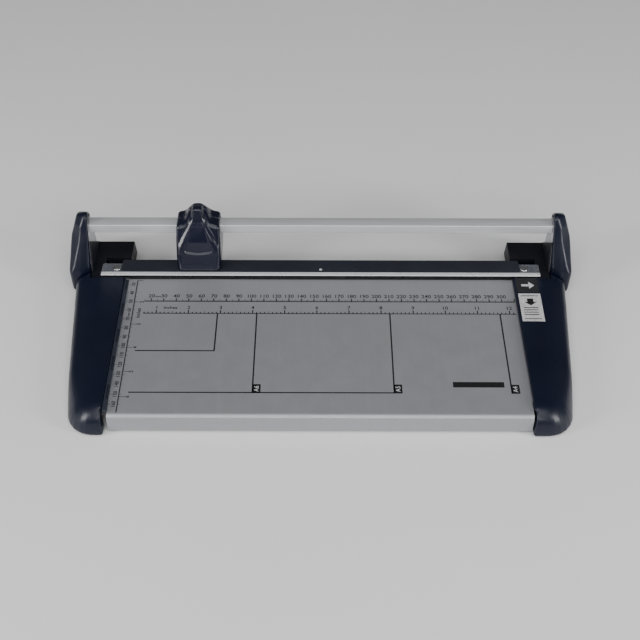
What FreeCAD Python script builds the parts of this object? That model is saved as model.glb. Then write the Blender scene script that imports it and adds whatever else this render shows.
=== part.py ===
import FreeCAD, Part
import math
import os

# Rotary paper trimmer: a flat metal bed between two moulded side covers, a guide rail carried by a
# tower at each rear corner, and a cutting head that slides along the rail with a round blade.
#
# Frame: millimetres, +X along the cut to the right, +Y to the back, +Z up, origin on the ground in
# the middle of the whole machine. Most sizes are written as x, "forward" (how far in front of the
# cut line) and "rise" (how far above the bed's top), because that is how a trimmer is laid out.

# ---- driving sizes -------------------------------------------------------------------------------
BED_OPEN_WIDTH = 311.2      # bed between the two side covers
BED_REACH = 168.0           # cut line to the bed's front edge
BED_TOP = 18.0              # bed above the ground
NOSE_REACH = BED_REACH + 8.0    # cut line to the front of the side covers
TAIL_REACH = 28.6           # cut line to the back of the end decks
TOWER_FROM_BED = 31.9       # tower's inner side outside the bed's edge
TOWER_WIDTH = 18.0
FOOT_DROP = 1.5             # rubber feet below the plastic

SHEET = 1.5                 # bed plate, channels
BED_TUCK = 7.0              # bed plate hidden under each side cover
RAIL_FOOT = 1.5             # side rails' lower flange above the plastic's bottom edge
LIP_RADIUS = 4.0            # outside of the bend along the front
LIP_END_GAP = 0.2

COUNTER_BLADE_DEPTH = 22.0
COUNTER_BLADE_THICK = 2.0
COUNTER_BLADE_LENGTH = BED_OPEN_WIDTH + 13.8
GRIP_STRIP_DEPTH = 1.4
GRIP_STRIP_THICK = 1.75
SEAM = 0.2                  # joint between two flush pieces
CHANNEL_DEPTH = 30.0
CHANNEL_HEIGHT = 13.0
CHANNEL_INSET = 1.6         # rear channel's back face in front of the cut line
CHANNEL_SCREW_FORWARD = 11.0    # counter blade's screws in front of the cut line

COVER_RISE = 4.0            # side cover above the bed
COVER_WALL = 2.2
COVER_INSET = 3.6           # outer side of a side cover inside the towers' outer side
COVER_TAPER = 0.089         # outer side draws in this much for each mm forward
COVER_EDGE_RADIUS = 6.0
COVER_INNER_RADIUS = 1.8
COVER_CORNER_RADIUS = 20.0
NOSE_INNER_RADIUS = 3.5
NOSE_RECESS = 1.9           # nose stands off from the end of the bed's lip
FENCE_WIDTH = 2.8
FENCE_RISE = 3.2
FENCE_PITCH = 29.4
FENCE_TOOTH = 15.0

DECK_BACK = 23.7            # deck's rear top edge behind the cut line
DECK_FRONT = 2.5            # deck's front edge behind the cut line
DECK_STANDOFF = 1.2         # deck's inner side outside the bed's edge
DECK_WALL = 1.8
BLADE_POCKET_LENGTH = 13.0  # pocket in the deck that the parked blade hangs in
BLADE_POCKET_FRONT = 4.9

TOWER_INNER = BED_OPEN_WIDTH / 2 + TOWER_FROM_BED
TOWER_TOP_RISE = 49.0
TOWER_REAR_RISE = 41.0      # top of the tower's back edge, just above the rail
TOWER_WALL = 2.5
WEB_THICK = 1.2
BRACKET_THICK = 2.5

RAIL_DEPTH = 10.4
RAIL_HEIGHT = 8.2
RAIL_BOTTOM_RISE = 29.4
RAIL_FORWARD = -5.0         # rail's middle, behind the cut line
RAIL_CROWN = 0.5
RAIL_PORT_RADIUS = 1.35
RAIL_PORT_SPACING = 5.2

HEAD_X = -98.8              # where the head stands at rest
HEAD_HALF = 18.0
HEAD_WALL = 1.8
HEAD_FLOOR_RISE = 4.6
HEAD_SPLIT = -5.0           # joint between the head's front and rear shells
RUN_GAP = 0.15              # rail to glide bush, each side
LINER_THICK = 0.9
LEG_FRONT = -8.5            # carriage's leg that the blade's cartridge slides in
LEG_BACK = -12.5

BLADE_RADIUS = 14.0
BLADE_THICK = 1.0
BLADE_DIP = 2.7             # blade's edge below the bed's top
BLADE_GAP = 0.05            # blade's face to the counter blade
AXLE_RADIUS = 2.0
AXLE_PLAY = 0.05
BLADE_FLOAT = 0.8           # how far the blade can be pushed back against its spring
CARTRIDGE_FRONT = -3.9      # floor of the cup behind the blade
CARTRIDGE_BACK = -5.9
GUARD_RADIUS = BLADE_RADIUS + 1.3
PLUNGER_RADIUS = 3.6

CLAMP_GAP = 1.2             # open slot under the clamp strip
STRIP_THICK = 2.2
BAND_THICK = 0.6
STRIP_BACK = 4.0            # strip's back edge in front of the cut line
STRIP_FRONT = 23.0
BAND_BACK = 4.4
BAND_FRONT = 19.0
BAND_LENGTH = COUNTER_BLADE_LENGTH
TAB_BACK = 8.5
STRIP_LENGTH = BED_OPEN_WIDTH + 46.0
POST_FORWARD = 14.0
POST_RADIUS = 2.0
POST_PLAY = 0.3
POST_FROM_BAND_END = 3.6

# ---- worked-out places ---------------------------------------------------------------------------
CUT_Y = NOSE_REACH - (NOSE_REACH + TAIL_REACH) / 2
BED_HALF = BED_OPEN_WIDTH / 2
HALF_WIDTH = TOWER_INNER + TOWER_WIDTH
GROUND = -BED_TOP
SKIRT = GROUND + FOOT_DROP                  # bottom edge of the plastic
GRIP_STRIP_START = COUNTER_BLADE_DEPTH + SEAM
BED_START = GRIP_STRIP_START + GRIP_STRIP_DEPTH + SEAM
DECK_INNER = BED_HALF + DECK_STANDOFF
DECK_OUTER = TOWER_INNER - 0.2
SHELF_INNER = COUNTER_BLADE_LENGTH / 2 + 0.5
SHELF_FRONT = STRIP_FRONT + 0.5
COVER_START = STRIP_FRONT + 1.5
RAIL_HALF = TOWER_INNER - 0.3
RAIL_BACK = RAIL_FORWARD - RAIL_DEPTH / 2
RAIL_FRONT = RAIL_FORWARD + RAIL_DEPTH / 2
RAIL_TOP_RISE = RAIL_BOTTOM_RISE + RAIL_HEIGHT
BLADE_RISE = BLADE_RADIUS - BLADE_DIP
BLADE_FRONT = -BLADE_GAP
BLADE_BACK = BLADE_FRONT - BLADE_THICK
PLUNGER_RISE = BLADE_RISE + 2.0
AXLE_BACK = LEG_FRONT + BLADE_FLOAT + 0.1   # stays clear of the leg when the cartridge is pushed back
STRIP_BOTTOM = CLAMP_GAP
STRIP_TOP = STRIP_BOTTOM + STRIP_THICK
BAND_TOP = STRIP_TOP + BAND_THICK
POST_X = BAND_LENGTH / 2 + POST_FROM_BAND_END
POCKET_OUTER = SHELF_INNER + BLADE_POCKET_LENGTH + 1.2


# ---- shape helpers -------------------------------------------------------------------------------
def at(x, forward, rise):
    return FreeCAD.Vector(x, CUT_Y - forward, BED_TOP + rise)


def block(x0, x1, forward0, forward1, rise0, rise1):
    """A box between two x, two forward and two rise values, given in either order."""
    x0, x1 = sorted((x0, x1))
    forward0, forward1 = sorted((forward0, forward1))
    rise0, rise1 = sorted((rise0, rise1))
    return Part.makeBox(x1 - x0, forward1 - forward0, rise1 - rise0, at(x0, forward1, rise0))


def rod(radius, start, end):
    """A cylinder from one point to another, each given as x, forward, rise."""
    foot = at(*start)
    run = at(*end) - foot
    return Part.makeCylinder(radius, run.Length, foot, run)


def cone(radius0, radius1, start, end):
    foot = at(*start)
    run = at(*end) - foot
    return Part.makeCone(radius0, radius1, run.Length, foot, run)


def corner_arc(before, corner, after, radius):
    """Where the arc that rounds a corner starts, its middle and where it ends."""
    into = (before - corner).normalize()
    out = (after - corner).normalize()
    half = into.getAngle(out) / 2
    reach = radius / math.tan(half)
    bisector = (into + out).normalize()
    middle = corner + bisector * (radius / math.sin(half) - radius)
    return corner + into * reach, middle, corner + out * reach


def rounded_face(points, place):
    """A flat face whose corners (a, b) or (a, b, radius) are put in space by place(a, b)."""
    corners = [place(p[0], p[1]) for p in points]
    radii = [p[2] if len(p) > 2 else 0 for p in points]
    edges = []
    joints = []
    for i, corner in enumerate(corners):
        if radii[i]:
            after = corners[(i + 1) % len(corners)]
            joints.append(corner_arc(corners[i - 1], corner, after, radii[i]))
        else:
            joints.append((corner, None, corner))
    for i, (start, middle, end) in enumerate(joints):
        if middle is not None:
            edges.append(Part.Arc(start, middle, end).toShape())
        following = joints[(i + 1) % len(joints)][0]
        if (following - end).Length > 1e-6:
            edges.append(Part.LineSegment(end, following).toShape())
    return Part.Face(Part.Wire(edges))


def side_prism(points, x0, x1):
    """Corners (forward, rise) pulled from x0 to x1."""
    face = rounded_face(points, lambda forward, rise: at(x0, forward, rise))
    return face.extrude(FreeCAD.Vector(x1 - x0, 0, 0))


def front_prism(points, forward0, forward1):
    """Corners (x, rise) pulled from forward0 to forward1."""
    face = rounded_face(points, lambda x, rise: at(x, forward0, rise))
    return face.extrude(FreeCAD.Vector(0, forward0 - forward1, 0))


def plan_prism(points, rise0, rise1):
    """Corners (x, forward) pulled from rise0 to rise1."""
    face = rounded_face(points, lambda x, forward: at(x, forward, rise0))
    return face.extrude(FreeCAD.Vector(0, 0, rise1 - rise0))


def edges_near(shape, test):
    """The edges whose middle point passes test(x, forward, rise)."""
    chosen = []
    for edge in shape.Edges:
        middle = edge.valueAt((edge.FirstParameter + edge.LastParameter) / 2)
        if test(middle.x, CUT_Y - middle.y, middle.z - BED_TOP):
            chosen.append(edge)
    return chosen


def coil(radius, wire, turns, foot, axis, length):
    """A compression spring as a swept helix that starts at foot and grows along axis."""
    pitch = (length - wire) / turns
    helix = Part.makeHelix(pitch, length - wire, radius)
    section = Part.Wire(Part.makeCircle(wire / 2, FreeCAD.Vector(radius, 0, 0), FreeCAD.Vector(0, 1, 0)))
    spring = Part.Wire(helix.Edges).makePipeShell([section], True, True)
    turn = FreeCAD.Rotation(FreeCAD.Vector(0, 0, 1), axis)
    spring.Placement = FreeCAD.Placement(foot + axis * (wire / 2), turn)
    return spring


def mirrored(shape):
    return shape.mirror(FreeCAD.Vector(0, 0, 0), FreeCAD.Vector(1, 0, 0))


def export(name, shape):
    shape.exportStep("parts/" + name + ".step")


def export_pair(name, right):
    """A piece made for the right-hand end and its mirror image for the left-hand end."""
    export("right_" + name, right)
    export("left_" + name, mirrored(right))


# ---- bed -----------------------------------------------------------------------------------------
def bed_plate():
    """Flat sheet with its front edge bent down into a lip that has a short return flange."""
    lip_foot = SKIRT + 0.5
    outer = BED_REACH + LIP_RADIUS
    inner_radius = LIP_RADIUS - SHEET
    flange = outer - 9.0
    section = [
        (BED_START, 0),
        (outer, 0, LIP_RADIUS),
        (outer, lip_foot, SHEET + 0.5),
        (flange, lip_foot),
        (flange, lip_foot + SHEET),
        (outer - SHEET, lip_foot + SHEET, 0.5),
        (outer - SHEET, -SHEET, inner_radius),
        (BED_START, -SHEET),
    ]
    plate = side_prism(section, -BED_HALF - BED_TUCK, BED_HALF + BED_TUCK)
    lip_half = BED_HALF - LIP_END_GAP
    for side in (-1, 1):
        cut = block(side * lip_half, side * (BED_HALF + 2 * BED_TUCK),
                    BED_REACH - 12, outer + 1, GROUND, 1)
        plate = plate.cut(cut)
    return plate


def counter_blade():
    """Hardened strip whose rear top edge the round blade shears against."""
    half = COUNTER_BLADE_LENGTH / 2
    strip = block(-half, half, 0, COUNTER_BLADE_DEPTH, -COUNTER_BLADE_THICK, 0)
    for x in counter_blade_screw_places():
        strip = strip.cut(rod(1.6, (x, CHANNEL_SCREW_FORWARD, -3), (x, CHANNEL_SCREW_FORWARD, 1)))
        strip = strip.cut(cone(1.6, 3.1, (x, CHANNEL_SCREW_FORWARD, -1.6), (x, CHANNEL_SCREW_FORWARD, 0.01)))
    return strip


def counter_blade_screw_places():
    spacing = BED_HALF * 0.45
    return [spacing * step for step in (-2, -1, 0, 1, 2)]


def counter_blade_screws():
    """Countersunk screws that hold the counter blade to the rear channel."""
    screws = []
    for x in counter_blade_screw_places():
        shank = rod(1.5, (x, CHANNEL_SCREW_FORWARD, -7.0), (x, CHANNEL_SCREW_FORWARD, -1.6))
        head = cone(1.5, 2.9, (x, CHANNEL_SCREW_FORWARD, -1.6), (x, CHANNEL_SCREW_FORWARD, -0.1))
        slot = block(x - 2.4, x + 2.4, CHANNEL_SCREW_FORWARD - 0.3, CHANNEL_SCREW_FORWARD + 0.3, -0.6, 0.1)
        screws.append(shank.fuse(head).cut(slot).removeSplitter())
    return Part.makeCompound(screws)


def grip_strip():
    """Rubber strip let into the bed under the clamp's front edge."""
    end = GRIP_STRIP_START + GRIP_STRIP_DEPTH
    return block(-BED_HALF, BED_HALF, GRIP_STRIP_START, end, -0.05 - GRIP_STRIP_THICK, -0.05)


def channel(start, top, half):
    """Inverted U of folded sheet that runs across the machine under the bed."""
    section = [
        (start, top, SHEET + 0.5),
        (start + CHANNEL_DEPTH, top, SHEET + 0.5),
        (start + CHANNEL_DEPTH, top - CHANNEL_HEIGHT),
        (start + CHANNEL_DEPTH - SHEET, top - CHANNEL_HEIGHT),
        (start + CHANNEL_DEPTH - SHEET, top - SHEET, 0.5),
        (start + SHEET, top - SHEET, 0.5),
        (start + SHEET, top - CHANNEL_HEIGHT),
        (start, top - CHANNEL_HEIGHT),
    ]
    return side_prism(section, -half, half)


def rear_channel():
    top = -COUNTER_BLADE_THICK
    piece = channel(CHANNEL_INSET, top, DECK_OUTER - WEB_THICK - 0.3)
    for x in counter_blade_screw_places():
        piece = piece.cut(rod(1.6, (x, CHANNEL_SCREW_FORWARD, top - 3), (x, CHANNEL_SCREW_FORWARD, top + 1)))
    for side in (-1, 1):
        x = side * POST_X
        piece = piece.cut(rod(POST_RADIUS + 0.05, (x, POST_FORWARD, top - 3), (x, POST_FORWARD, top + 1)))
        for screw_x, screw_forward in bracket_screw_places():
            x = side * screw_x
            hole = rod(1.7, (x, screw_forward, top - 3), (x, screw_forward, top + 1))
            piece = piece.cut(hole)
    return piece


def front_channel():
    return channel(BED_REACH - CHANNEL_DEPTH - 16, -SHEET - 0.1, BED_HALF - 14)


def side_rail():
    """Folded sheet under the bed's edge that the side cover is screwed to."""
    web = BED_HALF - 11
    top = -SHEET - 0.1
    foot = SKIRT + RAIL_FOOT
    section = [
        (web, top, SHEET),
        (BED_HALF + BED_TUCK - 1, top),
        (BED_HALF + BED_TUCK - 1, top - SHEET),
        (web + SHEET, top - SHEET, 0.5),
        (web + SHEET, foot + SHEET, 0.5),
        (BED_HALF + 20, foot + SHEET),
        (BED_HALF + 20, foot),
        (web, foot, SHEET),
    ]
    rail = front_prism(section, CHANNEL_INSET + CHANNEL_DEPTH + 1, BED_REACH - 18)
    for forward in cover_screw_places():
        x = cover_boss_x()
        rail = rail.cut(rod(1.6, (x, forward, foot - 1), (x, forward, foot + SHEET + 1)))
    return rail


# ---- side covers ---------------------------------------------------------------------------------
def cover_outer_x(forward):
    """The side cover's outer face draws in towards the front."""
    return HALF_WIDTH - COVER_INSET - COVER_TAPER * forward


def cover_boss_x():
    return BED_HALF + 14


def cover_screw_places():
    return [BED_REACH * share for share in (0.286, 0.565, 0.845)]


def cover_outline(inner, inset):
    """Plan of a side cover, drawn in by inset for the inside of its walls."""
    step_x = TOWER_INNER
    step_forward = 16.2
    front = NOSE_REACH - inset
    corner = COVER_CORNER_RADIUS - inset
    nose_inner = inner + NOSE_RECESS
    nose_start = BED_REACH + LIP_RADIUS + 0.3
    return [
        (inner + inset, COVER_START + inset),
        (step_x + inset, COVER_START + inset),
        (step_x + inset, step_forward + inset),
        (cover_outer_x(step_forward) - inset, step_forward + inset),
        (cover_outer_x(front) - inset, front, corner),
        (nose_inner + inset, front, NOSE_INNER_RADIUS - inset / 2),
        (nose_inner + inset, nose_start - 6),
        (inner + inset, nose_start - 6),
    ]


def side_cover(inner):
    """Hollow moulded cover: a tapered arm that rolls over into a rounded nose."""
    body = plan_prism(cover_outline(inner, 0), SKIRT, COVER_RISE)
    top_outer = edges_near(body, lambda x, forward, rise: (
        abs(rise - COVER_RISE) < 0.01 and (x > cover_outer_x(forward) - 4.5 and forward > 17
                                           or forward > NOSE_REACH - 9)))
    body = body.makeFillet(COVER_EDGE_RADIUS, top_outer)
    top_inner = edges_near(body, lambda x, forward, rise: (
        abs(rise - COVER_RISE) < 0.01 and abs(x - inner) < 0.1))
    body = body.makeFillet(COVER_INNER_RADIUS, top_inner)
    hollow = plan_prism(cover_outline(inner, COVER_WALL), GROUND, COVER_RISE - COVER_WALL)
    roll = edges_near(hollow, lambda x, forward, rise: (
        rise > 0 and (x > cover_outer_x(forward) - 6.5 and forward > 20 or forward > NOSE_REACH - 9)))
    hollow = hollow.makeFillet(COVER_EDGE_RADIUS - COVER_WALL, roll)
    body = body.cut(hollow)
    # the bed plate and the side rail pass under the inner wall
    gap = block(inner - 1, inner + COVER_WALL + 1, COVER_START - 1, BED_REACH - 2, GROUND, 0.05)
    body = body.cut(gap)
    # the rear channel and the rail bracket's arm pass under the rear wall
    channel_end = CHANNEL_INSET + CHANNEL_DEPTH + 0.5
    gap = block(inner - 1, TOWER_INNER, COVER_START - 1, channel_end, GROUND, 0.2 - COUNTER_BLADE_THICK)
    body = body.cut(gap)
    wall_end = COVER_START + COVER_WALL + 0.7
    gap = block(inner - 1, BED_HALF + BED_TUCK + 0.4, COVER_START - 1, wall_end, GROUND, 0.05)
    body = body.cut(gap)
    for forward in cover_screw_places():
        boss = rod(3.2, (cover_boss_x(), forward, SKIRT + RAIL_FOOT + SHEET + 0.1),
                   (cover_boss_x(), forward, COVER_RISE - 1))
        pilot = rod(1.2, (cover_boss_x(), forward, SKIRT), (cover_boss_x(), forward, SKIRT + 12))
        body = body.fuse(boss).cut(pilot)
    foot_x, foot_forward = front_foot_place()
    pad = rod(9.0, (foot_x, foot_forward, SKIRT), (foot_x, foot_forward, COVER_RISE - 1))
    socket = rod(7.1, (foot_x, foot_forward, GROUND), (foot_x, foot_forward, SKIRT + 1.5))
    return body.fuse(pad).cut(socket).removeSplitter()


def paper_fence():
    """Toothed strip along the left edge of the bed that the sheet is squared against."""
    outer = -BED_HALF - FENCE_WIDTH + 0.1
    inner = -BED_HALF
    start = COVER_START + 1
    fence = block(outer, inner, start, BED_REACH, 0.05, FENCE_RISE)
    first_gap = start
    while first_gap < BED_REACH:
        gap_end = min(first_gap + FENCE_PITCH - FENCE_TOOTH, BED_REACH - 1)
        if gap_end > first_gap + 1:
            fence = fence.cut(block(outer + 0.9, inner + 1, first_gap, gap_end, 1.0, FENCE_RISE + 1))
        first_gap += FENCE_PITCH
    return fence


def cover_screws(side):
    """Pan-head screws up through the side rail into the cover's bosses."""
    foot = SKIRT + RAIL_FOOT
    x = side * cover_boss_x()
    screws = []
    for forward in cover_screw_places():
        shank = rod(1.15, (x, forward, foot), (x, forward, foot + 9))
        head = rod(2.6, (x, forward, foot - 1.4), (x, forward, foot))
        slot = block(x - 2.0, x + 2.0, forward - 0.3, forward + 0.3, foot - 2, foot - 0.9)
        screws.append(shank.fuse(head).cut(slot).removeSplitter())
    return screws


def front_foot_place():
    return BED_HALF + 17, NOSE_REACH - 16


def rear_foot_place():
    return DECK_INNER + 14, -14


def rubber_foot(place, side):
    x, forward = place
    foot = rod(7.0, (side * x, forward, GROUND), (side * x, forward, SKIRT + 1.5))
    rim = edges_near(foot, lambda ex, ef, rise: rise < GROUND + 0.1)
    return foot.makeFillet(0.6, rim)


# ---- end decks and towers ------------------------------------------------------------------------
def deck_section(inset):
    """Side view of an end deck: level top, leaning back wall."""
    lean = (TAIL_REACH - DECK_BACK) / (0 - SKIRT)
    return [
        (-TAIL_REACH + inset, SKIRT - inset),
        (-DECK_BACK + inset - inset * lean, -inset),
        (-DECK_FRONT - inset, -inset),
        (-DECK_FRONT - inset, SKIRT - inset),
    ]


def web_section():
    """Triangular web that ties the deck to the tower's inner side."""
    return [
        (-DECK_BACK + 0.5, -1.0),
        (-DECK_BACK + 0.5, 0.5),
        (7.2, 26.0),
        (9.2, 18.0),
        (12.0, 9.0),
        (15.2, 1.0),
        (15.2, -1.0),
    ]


def end_deck():
    """Hollow deck behind and beside the clamp's end, with the pocket for the parked blade."""
    body = side_prism(deck_section(0), DECK_INNER, DECK_OUTER)
    rear_top = edges_near(body, lambda x, forward, rise: abs(rise) < 0.01 and forward < -DECK_BACK + 1)
    body = body.makeFillet(0.8, rear_top)
    hollow = side_prism(deck_section(DECK_WALL), DECK_INNER + DECK_WALL, DECK_OUTER - DECK_WALL)
    body = body.cut(hollow)
    shelf = plan_prism([
        (POCKET_OUTER, -DECK_FRONT - DECK_WALL),
        (DECK_OUTER, -DECK_FRONT - DECK_WALL),
        (DECK_OUTER, SHELF_FRONT),
        (SHELF_INNER, SHELF_FRONT),
        (SHELF_INNER, BLADE_POCKET_FRONT),
        (POCKET_OUTER, BLADE_POCKET_FRONT),
    ], -DECK_WALL, 0)
    post_hole = rod(POST_RADIUS + 0.05, (POST_X, POST_FORWARD, -4), (POST_X, POST_FORWARD, 1))
    spring_well = rod(3.9, (POST_X, POST_FORWARD, -4), (POST_X, POST_FORWARD, 1))
    shelf = shelf.cut(post_hole).cut(spring_well)
    web = side_prism(web_section(), DECK_OUTER - WEB_THICK, DECK_OUTER)
    body = body.fuse([shelf, web])
    foot_x, foot_forward = rear_foot_place()
    pad = rod(8.6, (foot_x, foot_forward, SKIRT), (foot_x, foot_forward, -1))
    socket = rod(7.1, (foot_x, foot_forward, GROUND), (foot_x, foot_forward, SKIRT + 1.5))
    return body.fuse(pad).cut(socket).removeSplitter()


def tower_side_section(inset):
    """Side view of a tower: a leaning fin that narrows upwards to a round top."""
    return [
        (-TAIL_REACH + inset, SKIRT - inset),
        (-DECK_BACK + inset, 0, 30.0),
        (RAIL_BACK - 3.0 + inset, TOWER_REAR_RISE - inset / 2, 4.0 - inset),
        (-2.0, TOWER_TOP_RISE - inset, 4.5 - inset),
        (7.5 - inset, 27.0, 40.0),
        (15.7 - inset, 3.0, 20.0),
        (15.7 - inset, SKIRT - inset),
    ]


def tower_front_section(inset):
    """Front view of a tower: upright inner side, outer side that bulges low down."""
    outer = HALF_WIDTH - inset
    inner = TOWER_INNER - (1 if inset else 0)
    return [
        (inner, SKIRT - inset),
        (inner, TOWER_TOP_RISE - inset),
        (TOWER_INNER + 1.5, TOWER_TOP_RISE - inset, 1.0),
        (outer - 8.0, TOWER_TOP_RISE - 5.5 - inset, 4.0 - inset),
        (outer - 2.4, 26.0, 25.0),
        (outer, 2.0, 30.0),
        (outer - 1.2, SKIRT - inset),
    ]


def tower_cap():
    """Moulded cap over the rail's end, open below and towards the rail bracket."""
    width_end = HALF_WIDTH + 1
    body = side_prism(tower_side_section(0), TOWER_INNER, width_end)
    body = body.common(front_prism(tower_front_section(0), -TAIL_REACH - 1, 17))
    hollow = side_prism(tower_side_section(TOWER_WALL), TOWER_INNER - 1, width_end)
    hollow = hollow.common(front_prism(tower_front_section(TOWER_WALL), -TAIL_REACH - 1, 17))
    return body.cut(hollow).removeSplitter()


def bracket_screw_places():
    return [(TOWER_INNER - 10, 10), (TOWER_INNER - 10, 21)]


def rail_screw_places():
    middle = RAIL_BOTTOM_RISE + RAIL_HEIGHT / 2
    return [(RAIL_FORWARD + RAIL_PORT_SPACING * s / 2, middle) for s in (-1, 1)]


def rail_bracket():
    """Folded steel end plate: carries the rail's end and bolts under the rear channel."""
    plate = side_prism(tower_side_section(TOWER_WALL + 0.3), TOWER_INNER + 0.1,
                       TOWER_INNER + 0.1 + BRACKET_THICK)
    kept = block(TOWER_INNER, HALF_WIDTH, -TAIL_REACH, 17, SKIRT + 1, RAIL_TOP_RISE + 0.8)
    plate = plate.common(kept)
    top = -COUNTER_BLADE_THICK - SHEET - 0.1
    flange = block(TOWER_INNER - 18, TOWER_INNER + 0.5, 4.0, 13.0, top - BRACKET_THICK, top)
    arm = block(TOWER_INNER - 18, TOWER_INNER - 2, 13.0, 26.0, top - BRACKET_THICK, top)
    bracket = plate.fuse([flange, arm])
    for x, forward in bracket_screw_places():
        bracket = bracket.cut(rod(1.5, (x, forward, top - 4), (x, forward, top + 1)))
    for forward, rise in rail_screw_places():
        bracket = bracket.cut(rod(1.6, (TOWER_INNER - 1, forward, rise), (TOWER_INNER + 5, forward, rise)))
    return bracket.removeSplitter()


def bracket_screws():
    """Screws down through the rear channel's top into the brackets' flanges, four in all."""
    screws = []
    top = -COUNTER_BLADE_THICK
    for side in (-1, 1):
        for x, forward in bracket_screw_places():
            head = rod(1.6, (side * x, forward, top - 0.4), (side * x, forward, top))
            shank = rod(1.45, (side * x, forward, top - 7), (side * x, forward, top - 0.4))
            screws.append(shank.fuse(head).removeSplitter())
    return Part.makeCompound(screws)


# ---- guide rail ----------------------------------------------------------------------------------
def rail():
    """Extruded aluminium bar with a crowned top, side grooves and two screw ports."""
    crown_top = RAIL_TOP_RISE
    shoulder = RAIL_TOP_RISE - RAIL_CROWN
    outline = [
        at(-RAIL_HALF, RAIL_BACK, RAIL_BOTTOM_RISE),
        at(-RAIL_HALF, RAIL_BACK, shoulder),
        at(-RAIL_HALF, RAIL_FORWARD, crown_top),
        at(-RAIL_HALF, RAIL_FRONT, shoulder),
        at(-RAIL_HALF, RAIL_FRONT, RAIL_BOTTOM_RISE),
    ]
    section = Part.Wire([
        Part.LineSegment(outline[0], outline[1]).toShape(),
        Part.Arc(outline[1], outline[2], outline[3]).toShape(),
        Part.LineSegment(outline[3], outline[4]).toShape(),
        Part.LineSegment(outline[4], outline[0]).toShape(),
    ])
    bar = Part.Face(section).extrude(FreeCAD.Vector(2 * RAIL_HALF, 0, 0))
    long_edges = [e for e in bar.Edges if e.Length > RAIL_HALF]
    bar = bar.makeFillet(0.6, long_edges)
    mid = RAIL_BOTTOM_RISE + RAIL_HEIGHT / 2
    grooves = [
        block(-RAIL_HALF - 1, RAIL_HALF + 1, RAIL_BACK - 1, RAIL_BACK + 0.7, mid - 0.8, mid + 0.8),
        block(-RAIL_HALF - 1, RAIL_HALF + 1, RAIL_FORWARD - 1.2, RAIL_FORWARD + 1.2,
              RAIL_BOTTOM_RISE - 1, RAIL_BOTTOM_RISE + 1.0),
    ]
    for groove in grooves:
        bar = bar.cut(groove)
    for forward, rise in rail_screw_places():
        port = rod(RAIL_PORT_RADIUS, (-RAIL_HALF - 1, forward, rise), (RAIL_HALF + 1, forward, rise))
        bar = bar.cut(port)
    return bar


def rail_screws():
    """Two pan-head screws through each bracket into the rail's ports."""
    screws = []
    start = TOWER_INNER + 0.1 + BRACKET_THICK
    for side in (-1, 1):
        for forward, rise in rail_screw_places():
            head = rod(2.5, (side * start, forward, rise), (side * (start + 1.6), forward, rise))
            shank = rod(RAIL_PORT_RADIUS - 0.05, (side * (start - 14), forward, rise),
                        (side * start, forward, rise))
            slot = block(side * (start + 1.0), side * (start + 2.0), forward - 0.3, forward + 0.3,
                         rise - 1.8, rise + 1.8)
            screws.append(shank.fuse(head).cut(slot).removeSplitter())
    return Part.makeCompound(screws)


# ---- clamp ---------------------------------------------------------------------------------------
def strip_outline():
    """Plan of the clear strip: full depth along the bed, a narrower tab at each end."""
    tab = STRIP_LENGTH / 2
    band = BAND_LENGTH / 2
    return [
        (-tab, TAB_BACK, 1.5),
        (-band, TAB_BACK, 0.8),
        (-band, STRIP_BACK, 2.5),
        (band, STRIP_BACK, 2.5),
        (band, TAB_BACK, 0.8),
        (tab, TAB_BACK, 1.5),
        (tab, STRIP_FRONT - 4.0),
        (-tab, STRIP_FRONT - 4.0),
    ]


def clamp_strip():
    """Clear strip that presses the sheet to the bed; posts pass through its tabs."""
    strip = plan_prism(strip_outline(), STRIP_BOTTOM, STRIP_TOP)
    for side in (-1, 1):
        x = side * POST_X
        hole = rod(POST_RADIUS + POST_PLAY, (x, POST_FORWARD, 0), (x, POST_FORWARD, STRIP_TOP + 1))
        strip = strip.cut(hole)
    return strip


def clamp_band():
    """Dark plate on top of the strip, with rounded ends."""
    half = BAND_LENGTH / 2
    band = plan_prism([
        (-half, BAND_BACK, 3.0),
        (half, BAND_BACK, 3.0),
        (half, BAND_FRONT, 0.6),
        (-half, BAND_FRONT, 0.6),
    ], STRIP_TOP, BAND_TOP)
    band = band.cut(rod(1.25, (0, 16, STRIP_TOP - 1), (0, 16, BAND_TOP + 1)))
    return band


def clamp_edge():
    """Polished metal edging along the strip's front."""
    half = STRIP_LENGTH / 2
    back = STRIP_FRONT - 4.0
    section = [
        (back, STRIP_BOTTOM),
        (back, BAND_TOP - 0.3),
        (STRIP_FRONT, BAND_TOP - 0.3, 1.0),
        (STRIP_FRONT, STRIP_BOTTOM, 0.4),
    ]
    return side_prism(section, -half, half)


def clamp_rivet():
    """Flush rivet in the middle of the band."""
    return rod(1.2, (0, 16, STRIP_TOP), (0, 16, BAND_TOP + 0.05))


def clamp_post(side):
    """Shouldered post that guides the strip's tab and stops it rising further."""
    x = side * POST_X
    top = -COUNTER_BLADE_THICK
    shank = rod(POST_RADIUS, (x, POST_FORWARD, top - 2.5), (x, POST_FORWARD, STRIP_TOP + 0.02))
    cap = rod(3.4, (x, POST_FORWARD, STRIP_TOP + 0.02), (x, POST_FORWARD, STRIP_TOP + 0.9))
    rim = edges_near(cap, lambda ex, ef, rise: rise > STRIP_TOP + 0.8)
    return shank.fuse(cap.makeFillet(0.5, rim)).removeSplitter()


def clamp_spring(side):
    """Coil round the post that lifts the strip off the bed."""
    foot_rise = -COUNTER_BLADE_THICK
    length = STRIP_BOTTOM - foot_rise - 0.04
    foot = at(side * POST_X, POST_FORWARD, foot_rise + 0.02)
    return coil(3.0, 0.5, 3, foot, FreeCAD.Vector(0, 0, 1), length)


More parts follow.
